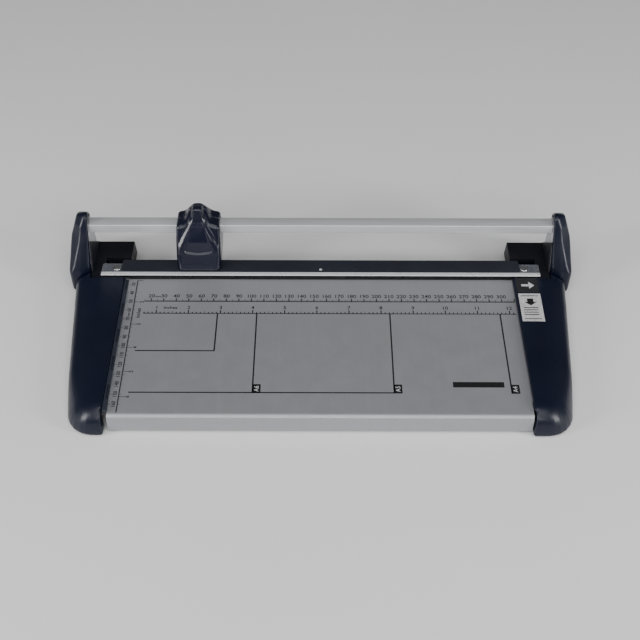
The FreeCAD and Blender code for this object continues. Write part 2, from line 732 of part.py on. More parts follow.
# ---- cutting head --------------------------------------------------------------------------------
def head_side_section(inset):
    """Side view of the head's main body."""
    return [
        (17.0 - inset, HEAD_FLOOR_RISE - inset),
        (14.8 - inset, 19.0, 12.0),
        (8.6 - inset, 33.0, 12.0),
        (4.2 - inset, 42.4 - inset, 2.5),
        (-1.5, 50.5 - inset, 4.0),
        (-9.2 + inset / 2, 53.6 - inset, 3.5),
        (-14.6 + inset, 44.0 - inset, 3.0),
        (-18.0 + inset, 27.0, 20.0),
        (-20.8 + inset, 12.0 - inset),
        (-8.0, 7.4 - inset),
        (4.0, HEAD_FLOOR_RISE - inset),
    ]


def ridge_side_section(inset):
    """Side view of the raised ridge that runs up the head's front and over its top."""
    return [
        (18.9 - inset, HEAD_FLOOR_RISE - inset),
        (18.4 - inset, 11.0, 12.0),
        (12.4 - inset, 29.0, 20.0),
        (4.6 - inset, 44.5, 20.0),
        (1.2 - inset, 55.0 - inset, 2.5),
        (-9.2 + inset, 53.6 - inset, 3.5),
        (-14.6 + inset, 42.0, 20.0),
        (-18.0 + inset, 27.0),
        (-18.0 + inset, 20.0),
        (-8.0, HEAD_FLOOR_RISE + 3.0 - inset),
        (4.0, HEAD_FLOOR_RISE - inset),
    ]


def ridge_front_section(inset):
    """Front view of the ridge: a bottle, narrow at the top and wide at the bottom."""
    half = [
        (15.9 - inset, HEAD_FLOOR_RISE - inset),
        (15.7 - inset, 21.0, 14.0),
        (12.6 - inset, 30.0, 16.0),
        (4.6 - inset, 44.0, 14.0),
        (4.0 - inset, 60.0),
    ]
    mirror_half = [(-p[0],) + tuple(p[1:]) for p in reversed(half)]
    return [(HEAD_X + p[0],) + tuple(p[1:]) for p in half + mirror_half]


def shoulder_section(inset):
    """Front view of the head's main body, with sloping shoulders."""
    half = [
        (HEAD_HALF - inset, HEAD_FLOOR_RISE - 1 - inset),
        (HEAD_HALF - 0.6 - inset, 42.6 - inset, 2.0),
        (10.4, 46.0 - inset, 4.0),
        (4.0, 55.5 - inset, 1.0),
    ]
    mirror_half = [(-p[0],) + tuple(p[1:]) for p in reversed(half)]
    return [(HEAD_X + p[0],) + tuple(p[1:]) for p in half + mirror_half]


def head_envelope(inset):
    """The whole head's outside, or with an inset the space inside its walls."""
    left = HEAD_X - HEAD_HALF + inset
    right = HEAD_X + HEAD_HALF - inset
    body = side_prism(head_side_section(inset), left, right)
    body = body.common(front_prism(shoulder_section(inset), -25, 25))
    ridge = side_prism(ridge_side_section(inset), left, right)
    ridge = ridge.common(front_prism(ridge_front_section(inset), -25, 25))
    return body.fuse(ridge).removeSplitter()


def rail_window():
    """The rail's way through both flanks of the head."""
    gap = 0.8
    return block(HEAD_X - HEAD_HALF - 1, HEAD_X + HEAD_HALF + 1, RAIL_BACK - gap, RAIL_FRONT + gap,
                 RAIL_BOTTOM_RISE - gap, RAIL_TOP_RISE + gap)


def head_screw_places():
    return [(HEAD_X - 13.0, 24.3), (HEAD_X + 13.0, 24.3)]


def head_hollow():
    floor_cut = block(HEAD_X - HEAD_HALF + HEAD_WALL, HEAD_X + HEAD_HALF - HEAD_WALL, -18, 15,
                      HEAD_FLOOR_RISE - 4, HEAD_FLOOR_RISE + 6)
    return head_envelope(HEAD_WALL).fuse(floor_cut.common(head_envelope(0)))


def head_front_shell():
    """Front half of the head's casing, with a thumb recess in the ridge."""
    shell = head_envelope(0).cut(head_hollow()).cut(rail_window())
    shell = shell.common(block(HEAD_X - 30, HEAD_X + 30, HEAD_SPLIT + 0.05, 30, 0, 70))
    recess = front_prism([
        (HEAD_X - 10.4, 22.6, 1.5),
        (HEAD_X + 10.4, 22.6, 1.5),
        (HEAD_X + 4.4, 40.0, 1.5),
        (HEAD_X - 4.4, 40.0, 1.5),
    ], 0, 30)
    skin = side_prism(ridge_side_section(0), HEAD_X - 12, HEAD_X + 12)
    lower = skin.copy()
    lower.translate(FreeCAD.Vector(0, 0.7, 0))
    shell = shell.cut(recess.common(skin.cut(lower)))
    for x, rise in head_screw_places():
        boss = rod(2.2, (x, HEAD_SPLIT + 0.05, rise), (x, 14.0, rise))
        pilot = rod(1.05, (x, HEAD_SPLIT - 1, rise), (x, 6.0, rise))
        shell = shell.fuse(boss.common(head_envelope(0))).cut(pilot)
    return shell.removeSplitter()


def head_rear_shell():
    """Rear half of the head's casing, with counterbored screw bosses."""
    shell = head_envelope(0).cut(head_hollow()).cut(rail_window())
    shell = shell.common(block(HEAD_X - 30, HEAD_X + 30, -30, HEAD_SPLIT - 0.05, 0, 70))
    for x, rise in head_screw_places():
        boss = rod(2.6, (x, -18.0, rise), (x, HEAD_SPLIT - 0.05, rise))
        bore = rod(1.3, (x, -25, rise), (x, HEAD_SPLIT + 1, rise))
        counterbore = rod(2.0, (x, -25, rise), (x, -15.5, rise))
        shell = shell.fuse(boss).cut(bore).cut(counterbore)
    return shell.removeSplitter()


def head_screws():
    screws = []
    for x, rise in head_screw_places():
        head = rod(1.9, (x, -17.0, rise), (x, -15.5, rise))
        shank = rod(1.0, (x, -15.5, rise), (x, 5.0, rise))
        slot = block(x - 1.5, x + 1.5, -18, -16.4, rise - 0.3, rise + 0.3)
        screws.append(shank.fuse(head).cut(slot).removeSplitter())
    return Part.makeCompound(screws)


def tunnel(gap):
    """The rail's section grown by gap, as a bar through the head."""
    return block(HEAD_X - 20, HEAD_X + 20, RAIL_BACK - gap, RAIL_FRONT + gap,
                 RAIL_BOTTOM_RISE - gap, RAIL_TOP_RISE + gap)


def head_carriage():
    """Frame inside the head: a box round the rail with a leg that holds the blade's cartridge."""
    half = 14.5
    reach = RUN_GAP + LINER_THICK
    frame = side_prism([
        (RAIL_FRONT + reach + 1.3, RAIL_BOTTOM_RISE - reach - 1.3),
        (RAIL_FRONT + reach + 1.3, RAIL_TOP_RISE + 0.2, 1.5),
        (RAIL_FRONT, RAIL_TOP_RISE + reach + 1.3, 1.5),
        (RAIL_BACK - reach - 1.6, RAIL_TOP_RISE + reach + 1.3, 2.0),
        (RAIL_BACK - reach - 1.6, RAIL_BOTTOM_RISE - reach - 1.3),
    ], HEAD_X - half, HEAD_X + half)
    frame = frame.cut(tunnel(reach))
    leg = block(HEAD_X - 8, HEAD_X + 8, LEG_BACK, LEG_FRONT, 8.2, RAIL_BOTTOM_RISE - reach - 1.0)
    frame = frame.fuse(leg)
    bore = rod(PLUNGER_RADIUS + AXLE_PLAY, (HEAD_X, LEG_BACK - 1, PLUNGER_RISE),
               (HEAD_X, LEG_FRONT + 1, PLUNGER_RISE))
    return frame.cut(bore).removeSplitter()


def glide_bush(side):
    """Slippery liner in one end of the carriage, running on the rail with a small gap."""
    outer = tunnel(RUN_GAP + LINER_THICK - 0.02)
    inner = tunnel(RUN_GAP)
    ends = sorted((side * 8.0, side * 14.5))
    keep = block(HEAD_X + ends[0], HEAD_X + ends[1], -20, 10, 20, 50)
    return outer.cut(inner).common(keep)


def blade_cartridge():
    """Cup round the blade's upper part with a plunger that slides in the carriage's leg."""
    disc = rod(GUARD_RADIUS, (HEAD_X, CARTRIDGE_BACK, BLADE_RISE), (HEAD_X, 0.6, BLADE_RISE))
    room = rod(GUARD_RADIUS - 1.0, (HEAD_X, CARTRIDGE_FRONT, BLADE_RISE), (HEAD_X, 1.0, BLADE_RISE))
    cup = disc.cut(room)
    below = block(HEAD_X - 20, HEAD_X + 20, -10, 5, -10, HEAD_FLOOR_RISE + 2.6)
    plunger = rod(PLUNGER_RADIUS, (HEAD_X, CARTRIDGE_BACK, PLUNGER_RISE),
                  (HEAD_X, LEG_BACK - 2.0, PLUNGER_RISE))
    groove = rod(PLUNGER_RADIUS + 1, (HEAD_X, LEG_BACK - 0.02, PLUNGER_RISE),
                 (HEAD_X, LEG_BACK - 0.9, PLUNGER_RISE))
    core = rod(PLUNGER_RADIUS - 0.8, (HEAD_X, LEG_BACK, PLUNGER_RISE),
               (HEAD_X, LEG_BACK - 1, PLUNGER_RISE))
    axle_hole = rod(AXLE_RADIUS + 0.02, (HEAD_X, AXLE_BACK - 0.1, BLADE_RISE), (HEAD_X, 1, BLADE_RISE))
    plunger = plunger.cut(groove.cut(core))
    return cup.cut(below).fuse(plunger).cut(axle_hole).removeSplitter()


def retaining_clip():
    """Ring in the plunger's groove; it rests on the leg and stops the cartridge going forward."""
    start = (HEAD_X, LEG_BACK - 0.05, PLUNGER_RISE)
    end = (HEAD_X, LEG_BACK - 0.85, PLUNGER_RISE)
    ring = rod(5.4, start, end)
    return ring.cut(rod(PLUNGER_RADIUS - 0.78, (HEAD_X, LEG_BACK + 1, PLUNGER_RISE),
                        (HEAD_X, LEG_BACK - 3, PLUNGER_RISE)))


def cartridge_spring():
    """Coil round the plunger that holds the blade against the counter blade."""
    length = CARTRIDGE_BACK - LEG_FRONT - 0.04
    foot = at(HEAD_X, CARTRIDGE_BACK - 0.02, PLUNGER_RISE)
    return coil(4.6, 0.5, 3, foot, FreeCAD.Vector(0, 1, 0), length)


def blade_axle():
    """Headed pin that the blade's hub turns on."""
    pin = rod(AXLE_RADIUS, (HEAD_X, AXLE_BACK, BLADE_RISE), (HEAD_X, 0.12, BLADE_RISE))
    head = rod(4.8, (HEAD_X, 0.12, BLADE_RISE), (HEAD_X, 1.3, BLADE_RISE))
    rim = edges_near(head, lambda x, forward, rise: forward > 1.2)
    slot = block(HEAD_X - 3.2, HEAD_X + 3.2, 0.8, 2, BLADE_RISE - 0.45, BLADE_RISE + 0.45)
    return pin.fuse(head.makeFillet(0.4, rim)).cut(slot).removeSplitter()


def rotary_blade():
    """Round blade, ground to an edge from the side away from the counter blade."""
    grind = 1.6
    flat = rod(BLADE_RADIUS - grind, (HEAD_X, BLADE_BACK, BLADE_RISE), (HEAD_X, BLADE_FRONT, BLADE_RISE))
    edge_land = 0.08
    bevel = cone(BLADE_RADIUS - grind, BLADE_RADIUS, (HEAD_X, BLADE_BACK, BLADE_RISE),
                 (HEAD_X, BLADE_FRONT - edge_land, BLADE_RISE))
    land = rod(BLADE_RADIUS, (HEAD_X, BLADE_FRONT - edge_land, BLADE_RISE),
               (HEAD_X, BLADE_FRONT, BLADE_RISE))
    disc = flat.fuse([bevel, land])
    return disc.cut(rod(4.0, (HEAD_X, -5, BLADE_RISE), (HEAD_X, 5, BLADE_RISE))).removeSplitter()


def blade_hub():
    """Hub behind the blade with a spigot through it, running on the axle."""
    flange = rod(6.5, (HEAD_X, CARTRIDGE_FRONT + 0.3, BLADE_RISE), (HEAD_X, BLADE_BACK, BLADE_RISE))
    spigot = rod(3.98, (HEAD_X, BLADE_BACK, BLADE_RISE), (HEAD_X, BLADE_FRONT - 0.02, BLADE_RISE))
    bore = rod(AXLE_RADIUS + AXLE_PLAY, (HEAD_X, -10, BLADE_RISE), (HEAD_X, 5, BLADE_RISE))
    return flange.fuse(spigot).cut(bore).removeSplitter()


# ---- write every piece ---------------------------------------------------------------------------
os.makedirs("parts", exist_ok=True)

export("bed_plate", bed_plate())
export("counter_blade", counter_blade())
export("counter_blade_screws", counter_blade_screws())
export("grip_strip", grip_strip())
export("rear_channel", rear_channel())
export("front_channel", front_channel())
export_pair("side_rail", side_rail())
export("right_side_cover", side_cover(BED_HALF))
export("left_side_cover", mirrored(side_cover(BED_HALF + FENCE_WIDTH)))
export("paper_fence", paper_fence())
export("cover_screws", Part.makeCompound(cover_screws(-1) + cover_screws(1)))
for corner, place in (("front", front_foot_place()), ("rear", rear_foot_place())):
    export("right_" + corner + "_foot", rubber_foot(place, 1))
    export("left_" + corner + "_foot", rubber_foot(place, -1))
export_pair("end_deck", end_deck())
export_pair("tower_cap", tower_cap())
export_pair("rail_bracket", rail_bracket())
export("bracket_screws", bracket_screws())
export("rail", rail())
export("rail_screws", rail_screws())
export("clamp_strip", clamp_strip())
export("clamp_band", clamp_band())
export("clamp_edge", clamp_edge())
export("clamp_rivet", clamp_rivet())
for side_name, side in (("right", 1), ("left", -1)):
    export(side_name + "_clamp_post", clamp_post(side))
    export(side_name + "_clamp_spring", clamp_spring(side))
    export(side_name + "_glide_bush", glide_bush(side))
export("head_front_shell", head_front_shell())
export("head_rear_shell", head_rear_shell())
export("head_screws", head_screws())
export("head_carriage", head_carriage())
export("blade_cartridge", blade_cartridge())
export("retaining_clip", retaining_clip())
export("cartridge_spring", cartridge_spring())
export("blade_axle", blade_axle())
export("rotary_blade", rotary_blade())
export("blade_hub", blade_hub())
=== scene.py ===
import math
from functools import reduce
import bpy
import numpy as np
from mathutils import Matrix, Vector


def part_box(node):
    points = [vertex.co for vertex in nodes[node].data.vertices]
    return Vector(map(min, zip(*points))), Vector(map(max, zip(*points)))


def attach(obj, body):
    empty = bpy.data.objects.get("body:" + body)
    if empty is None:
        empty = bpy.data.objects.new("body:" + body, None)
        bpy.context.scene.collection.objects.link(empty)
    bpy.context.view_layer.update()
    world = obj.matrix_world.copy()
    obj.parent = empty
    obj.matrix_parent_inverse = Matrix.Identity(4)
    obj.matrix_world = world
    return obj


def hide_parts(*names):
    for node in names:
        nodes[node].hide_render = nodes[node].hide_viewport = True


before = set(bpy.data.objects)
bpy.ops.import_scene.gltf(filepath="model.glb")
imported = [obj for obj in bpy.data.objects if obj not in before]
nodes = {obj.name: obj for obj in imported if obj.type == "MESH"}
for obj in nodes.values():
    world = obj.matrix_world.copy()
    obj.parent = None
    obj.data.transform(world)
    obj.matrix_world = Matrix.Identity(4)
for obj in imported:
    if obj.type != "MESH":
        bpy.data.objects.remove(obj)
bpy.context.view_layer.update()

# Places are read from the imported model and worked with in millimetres: x, "forward" (how far in
# front of the cut line) and "rise" (how far above the bed's top).
MM = 0.001
CUT_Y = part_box("counter_blade")[1].y / MM
BED_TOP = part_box("bed_plate")[1].z / MM
SCALE_ZERO = -155.3             # where both rulers start, along x
carriage_low, carriage_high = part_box("head_carriage")
HEAD_X = (carriage_low.x / MM + carriage_high.x / MM) / 2


def to_frame(points):
    """x, forward, rise in millimetres to the shared frame in metres."""
    points = np.asarray(points, float)
    placed = np.empty_like(points)
    placed[:, 0] = points[:, 0] * MM
    placed[:, 1] = (CUT_Y - points[:, 1]) * MM
    placed[:, 2] = (points[:, 2] + BED_TOP) * MM
    return placed


# ---- materials -----------------------------------------------------------------------------------
class Graph:
    """A material's node tree, with short ways to add and join nodes."""

    def __init__(self, name):
        self.material = bpy.data.materials.new(name)
        self.material.use_nodes = True
        self.tree = self.material.node_tree
        self.shader = self.tree.nodes["Principled BSDF"]
        self.place = self.add("ShaderNodeTexCoord").outputs["Object"]

    def add(self, kind, **settings):
        node = self.tree.nodes.new(kind)
        for key, value in settings.items():
            setattr(node, key, value)
        return node

    def join(self, out, socket):
        self.tree.links.new(out, socket)

    def stretched(self, stretch):
        node = self.add("ShaderNodeMapping")
        self.join(self.place, node.inputs["Vector"])
        node.inputs["Scale"].default_value = stretch
        return node.outputs["Vector"]

    def noise(self, scale, detail=3.0, stretch=None, rough=0.55):
        node = self.add("ShaderNodeTexNoise")
        self.join(self.place if stretch is None else self.stretched(stretch), node.inputs["Vector"])
        node.inputs["Scale"].default_value = scale
        node.inputs["Detail"].default_value = detail
        node.inputs["Roughness"].default_value = rough
        return node.outputs["Fac"]

    def cells(self, scale):
        node = self.add("ShaderNodeTexVoronoi")
        self.join(self.place, node.inputs["Vector"])
        node.inputs["Scale"].default_value = scale
        return node.outputs["Distance"]

    def spread(self, fac, low, high, start=0.3, end=0.7):
        """Turns a 0 to 1 pattern into a value between low and high."""
        node = self.add("ShaderNodeMapRange")
        self.join(fac, node.inputs["Value"])
        node.inputs["From Min"].default_value = start
        node.inputs["From Max"].default_value = end
        node.inputs["To Min"].default_value = low
        node.inputs["To Max"].default_value = high
        return node.outputs["Result"]

    def tint(self, fac, dark, light, start=0.3, end=0.7):
        """Turns a 0 to 1 pattern into a colour between dark and light."""
        node = self.add("ShaderNodeValToRGB")
        self.join(fac, node.inputs["Fac"])
        node.color_ramp.elements[0].position = start
        node.color_ramp.elements[0].color = (*dark, 1)
        node.color_ramp.elements[1].position = end
        node.color_ramp.elements[1].color = (*light, 1)
        return node.outputs["Color"]

    def mix(self, fac, tone, color):
        """Lays a plain colour over a tone where the pattern is high."""
        node = self.add("ShaderNodeMix", data_type="RGBA")
        self.join(fac, node.inputs[0])
        self.join(tone, node.inputs[6])
        node.inputs[7].default_value = (*color, 1)
        return node.outputs[2]

    def bump(self, heights):
        """Stacks (pattern, strength, distance) bumps and puts them on the shader."""
        before = None
        for pattern, strength, distance in heights:
            node = self.add("ShaderNodeBump")
            node.inputs["Strength"].default_value = strength
            node.inputs["Distance"].default_value = distance
            self.join(pattern, node.inputs["Height"])
            if before is not None:
                self.join(before, node.inputs["Normal"])
            before = node.outputs["Normal"]
        self.join(before, self.shader.inputs["Normal"])

    def set(self, **values):
        for key, value in values.items():
            self.shader.inputs[key.replace("_", " ")].default_value = value


def shade(color, factor):
    return tuple(min(c * factor, 1.0) for c in color)


def moulded(name, color, gloss, coat=0.0, grain=0.12, edge_highlight=0.0):
    """Injection-moulded plastic: fine spark-eroded grain, faint flow marks, and a painted highlight along
    convex edges.
    """
    g = Graph(name)
    flow = g.noise(22, 4, (1, 0.6, 1.6))
    speck = g.noise(900, 2)
    tone = g.tint(flow, shade(color, 0.86), shade(color, 1.16))
    tone = g.mix(g.spread(speck, 0.0, 0.10), tone, shade(color, 2.2))
    # painted highlight: rub masks the convex edges, found by their pointiness, where the colour is lightened
    # up to five times
    if edge_highlight:
        edge = g.add("ShaderNodeNewGeometry").outputs["Pointiness"]
        rub = g.spread(edge, 0.0, edge_highlight, 0.52, 0.60)
        tone = g.mix(rub, tone, shade(color, 5.0))
    g.join(tone, g.shader.inputs["Base Color"])
    g.join(g.spread(g.noise(60, 5), gloss - 0.05, gloss + 0.08), g.shader.inputs["Roughness"])
    g.bump([(g.cells(1700), grain, 0.00003), (g.noise(35, 3), 0.10, 0.0002)])
    g.set(Coat_Weight=coat, Coat_Roughness=0.15, Specular_IOR_Level=0.36)
    return g.material


def rubbery(name, color):
    g = Graph(name)
    g.join(g.tint(g.noise(140, 5), shade(color, 0.75), shade(color, 1.5)), g.shader.inputs["Base Color"])
    g.join(g.spread(g.noise(300, 3), 0.62, 0.85), g.shader.inputs["Roughness"])
    g.bump([(g.noise(1500, 3), 0.35, 0.00005)])
    return g.material


def painted_sheet(name, color):
    """Satin grey coat on sheet metal: orange peel, faint rubbing from paper along the bed."""
    g = Graph(name)
    cloud = g.noise(6, 3, (1, 0.5, 1))
    speck = g.noise(1300, 2)
    rub = g.noise(240, 4, (1, 0.03, 1))
    tone = g.tint(cloud, shade(color, 0.965), shade(color, 1.03))
    tone = g.mix(g.spread(speck, 0.0, 0.16), tone, shade(color, 0.72))
    tone = g.mix(g.spread(rub, 0.0, 0.10, 0.52, 0.72), tone, shade(color, 1.25))
    g.join(tone, g.shader.inputs["Base Color"])
    g.join(g.spread(g.noise(90, 4), 0.34, 0.46), g.shader.inputs["Roughness"])
    g.bump([(g.noise(620, 2), 0.10, 0.00006), (rub, 0.04, 0.00005)])
    g.set(Metallic=0.5)
    return g.material


def drawn_metal(name, color, rough, along=(0.02, 1, 1), scale=700, marks=0.22, metallic=1.0):
    """Metal with lines along its length, from drawing, grinding or brushing."""
    g = Graph(name)
    lines = g.noise(scale, 4, along)
    dull = g.noise(45, 4)
    tone = g.tint(lines, shade(color, 1 - marks), shade(color, 1 + marks * 0.4))
    tone = g.mix(g.spread(dull, 0.0, 0.18), tone, shade(color, 0.8))
    g.join(tone, g.shader.inputs["Base Color"])
    g.join(g.spread(lines, rough - 0.06, rough + 0.10), g.shader.inputs["Roughness"])
    g.bump([(lines, 0.12, 0.00003)])
    g.set(Metallic=metallic)
    return g.material


def edged_metal(name, color, rough, front_shade):
    """Polished strip with painted shade: faces that point forward are coloured near black."""
    g = Graph(name)
    lines = g.noise(500, 4, (0.02, 1, 1))
    tone = g.tint(lines, shade(color, 0.92), shade(color, 1.03))
    # painted shade: faces whose normal points forward are darkened to the near-black last colour
    facing = g.add("ShaderNodeSeparateXYZ")
    g.join(g.add("ShaderNodeNewGeometry").outputs["Normal"], facing.inputs["Vector"])
    black = g.spread(facing.outputs["Y"], 1.0, 0.0, -0.9, -0.5)
    g.join(g.mix(black, tone, front_shade), g.shader.inputs["Base Color"])
    g.join(g.spread(g.noise(45, 4), rough - 0.05, rough + 0.10), g.shader.inputs["Roughness"])
    g.bump([(lines, 0.12, 0.00003)])
    g.set(Metallic=0.45)
    return g.material


def zinc_plate(name, color):
    """Plated steel with a faint spangle of crystals."""
    g = Graph(name)
    crystal = g.add("ShaderNodeTexVoronoi")
    g.join(g.place, crystal.inputs["Vector"])
    crystal.inputs["Scale"].default_value = 160
    grey = g.add("ShaderNodeRGBToBW")
    g.join(crystal.outputs["Color"], grey.inputs["Color"])
    tone = g.tint(grey.outputs["Val"], shade(color, 0.82), shade(color, 1.08), 0.1, 0.9)
    g.join(tone, g.shader.inputs["Base Color"])
    g.join(g.spread(grey.outputs["Val"], 0.34, 0.50, 0.1, 0.9), g.shader.inputs["Roughness"])
    g.bump([(g.noise(800, 3), 0.10, 0.00004)])
    g.set(Metallic=0.55)
    return g.material


def smoked_clear(name, color):
    """Clear acrylic with a smoke tint and polishing swirls."""
    g = Graph(name)
    g.join(g.tint(g.noise(70, 4), shade(color, 0.92), shade(color, 1.08)), g.shader.inputs["Base Color"])
    g.join(g.spread(g.noise(260, 5), 0.05, 0.14), g.shader.inputs["Roughness"])
    g.bump([(g.noise(420, 4, (0.15, 1, 1)), 0.05, 0.00003)])
    g.set(Transmission_Weight=0.75, IOR=1.49)
    return g.material


def printed(name, color):
    """Screen-printed ink, a little uneven."""
    g = Graph(name)
    g.join(g.tint(g.noise(1100, 3), shade(color, 0.8), shade(color, 1.7)), g.shader.inputs["Base Color"])
    g.join(g.spread(g.noise(500, 2), 0.42, 0.6), g.shader.inputs["Roughness"])
    g.bump([(g.noise(1600, 2), 0.15, 0.00002)])
    return g.material


MATERIALS = {
    # the navy and head mouldings carry a painted highlight along their convex edges
    "navy": moulded("navy_moulding", (0.0032, 0.0054, 0.0155), 0.32, coat=0.05, grain=0.08, edge_highlight=0.22),
    "head": moulded("head_moulding", (0.0042, 0.0056, 0.0165), 0.23, coat=0.25, grain=0.03, edge_highlight=0.22),
    "charcoal": moulded("deck_moulding", (0.0052, 0.0060, 0.0100), 0.5, grain=0.22),
    "fence": moulded("fence_moulding", (0.020, 0.024, 0.036), 0.42),
    "white": moulded("acetal", (0.70, 0.70, 0.66), 0.4, grain=0.05),
    "carriage": moulded("carriage_moulding", (0.022, 0.022, 0.026), 0.45),
    "bed": painted_sheet("bed_coat", (0.352, 0.357, 0.380)),
    "steel": drawn_metal("ground_steel", (0.56, 0.57, 0.59), 0.24),
    "rail": drawn_metal("anodised_rail", (0.66, 0.67, 0.69), 0.38, scale=900, marks=0.10, metallic=0.5),
    # the clamp edge's last colour is painted shade on its forward-facing face
    "edge": edged_metal("polished_edge", (0.80, 0.81, 0.83), 0.28, (0.006, 0.006, 0.008)),
    "band": moulded("band_coat", (0.0145, 0.0170, 0.0240), 0.36, coat=0.12, grain=0.06),
    "zinc": zinc_plate("zinc_steel", (0.52, 0.53, 0.55)),
    "screw": drawn_metal("screw_steel", (0.46, 0.46, 0.48), 0.3, along=(1, 1, 0.05), scale=1500),
    "pin": drawn_metal("bright_pin", (0.74, 0.74, 0.76), 0.15, along=(1, 1, 0.05), scale=1500),
    "spring": drawn_metal("spring_wire", (0.34, 0.34, 0.36), 0.32, along=(1, 1, 1), scale=1200),
    "rubber": rubbery("foot_rubber", (0.018, 0.018, 0.020)),
    # grip rubber: partly the strip's own black, partly painted shade standing in for the shadow under the
    # clamp's edge
    "grip": rubbery("grip_rubber", (0.010, 0.010, 0.011)),
    "clear": smoked_clear("smoked_acrylic", (0.30, 0.31, 0.36)),
    "ink": printed("ink", (0.0045, 0.0045, 0.0055)),
    "pale_ink": printed("pale_ink", (0.42, 0.42, 0.44)),
    "label": printed("label_film", (0.40, 0.40, 0.40)),
    "dark_label": printed("dark_label_film", (0.010, 0.010, 0.012)),
}

FINISH = {
    "navy": "left_tower_cap right_tower_cap left_side_cover right_side_cover",
    "head": "head_front_shell head_rear_shell",
    "charcoal": "left_end_deck right_end_deck",
    "fence": "paper_fence",
    "white": "left_glide_bush right_glide_bush blade_hub",
    "carriage": "head_carriage blade_cartridge",
    "bed": "bed_plate",
    "steel": "counter_blade rotary_blade",
    "rail": "rail",
    "edge": "clamp_edge clamp_rivet",
    "band": "clamp_band",
    "zinc": "rear_channel front_channel left_side_rail right_side_rail left_rail_bracket right_rail_bracket",
    "screw": "counter_blade_screws cover_screws bracket_screws rail_screws head_screws retaining_clip",
    "pin": "left_clamp_post right_clamp_post blade_axle",
    "spring": "left_clamp_spring right_clamp_spring cartridge_spring",
    "rubber": "left_front_foot right_front_foot left_rear_foot right_rear_foot",
    "grip": "grip_strip",
    "clear": "clamp_strip",
}
for finish, names in FINISH.items():
    for name in names.split():
        mesh = nodes[name].data
        mesh.materials.clear()
        mesh.materials.append(MATERIALS[finish])


# ---- pieces --------------------------------------------------------------------------------------
def piece(name, points, faces, finish, body):
    """A mesh piece from points in x, forward, rise; it rides on a body of the frame."""
    mesh = bpy.data.meshes.new(name)
    mesh.from_pydata(to_frame(points).tolist(), [], faces)
    mesh.validate()
    mesh.materials.append(MATERIALS[finish])
    made = bpy.data.objects.new(name, mesh)
    bpy.context.scene.collection.objects.link(made)
    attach(made, body)
    return made


class Print:
    """Flat marks a few hundredths of a millimetre thick, gathered into one piece."""

    THICK = 0.03

    def __init__(self, level=0.0, bold=0.07):
        self.points = []
        self.faces = []
        self.level = level
        self.bold = bold            # how far letters are thickened all round

    def bar(self, x0, x1, forward0, forward1):
        start = len(self.points)
        for rise in (self.level, self.level + self.THICK):
            self.points += [(x0, forward0, rise), (x1, forward0, rise), (x1, forward1, rise),
                            (x0, forward1, rise)]
        rings = [(0, 1, 2, 3), (7, 6, 5, 4), (0, 4, 5, 1), (1, 5, 6, 2), (2, 6, 7, 3), (3, 7, 4, 0)]
        self.faces += [tuple(start + i for i in ring) for ring in rings]

    def text(self, words, size, x, forward, turned=False):
        """Words centred on a point, upright for the user or turned to read from the right."""
        curve = bpy.data.curves.new("words", "FONT")
        curve.body = words
        curve.size = size
        curve.extrude = self.THICK / 2
        curve.offset = self.bold
        curve.align_x = "CENTER"
        curve.align_y = "CENTER"
        curve.resolution_u = 3
        holder = bpy.data.objects.new("words", curve)
        mesh = bpy.data.meshes.new_from_object(holder)
        start = len(self.points)
        for vertex in mesh.vertices:
            a, b, c = vertex.co
            if turned:
                a, b = -b, a
            self.points.append((x + a, forward - b, self.level + self.THICK / 2 + c))
        self.faces += [tuple(start + i for i in face.vertices) for face in mesh.polygons]
        bpy.data.meshes.remove(mesh)
        bpy.data.objects.remove(holder)
        bpy.data.curves.remove(curve)

    def make(self, name, finish, slot):
        piece(name, self.points, self.faces, finish, "base")


def tick(step, whole, part, sizes):
    """The size of a ruler's mark: the first at each whole, the second at each part, else the third."""
    if step % whole == 0:
        return sizes[0]
    if step % part == 0:
        return sizes[1]
    return sizes[2]


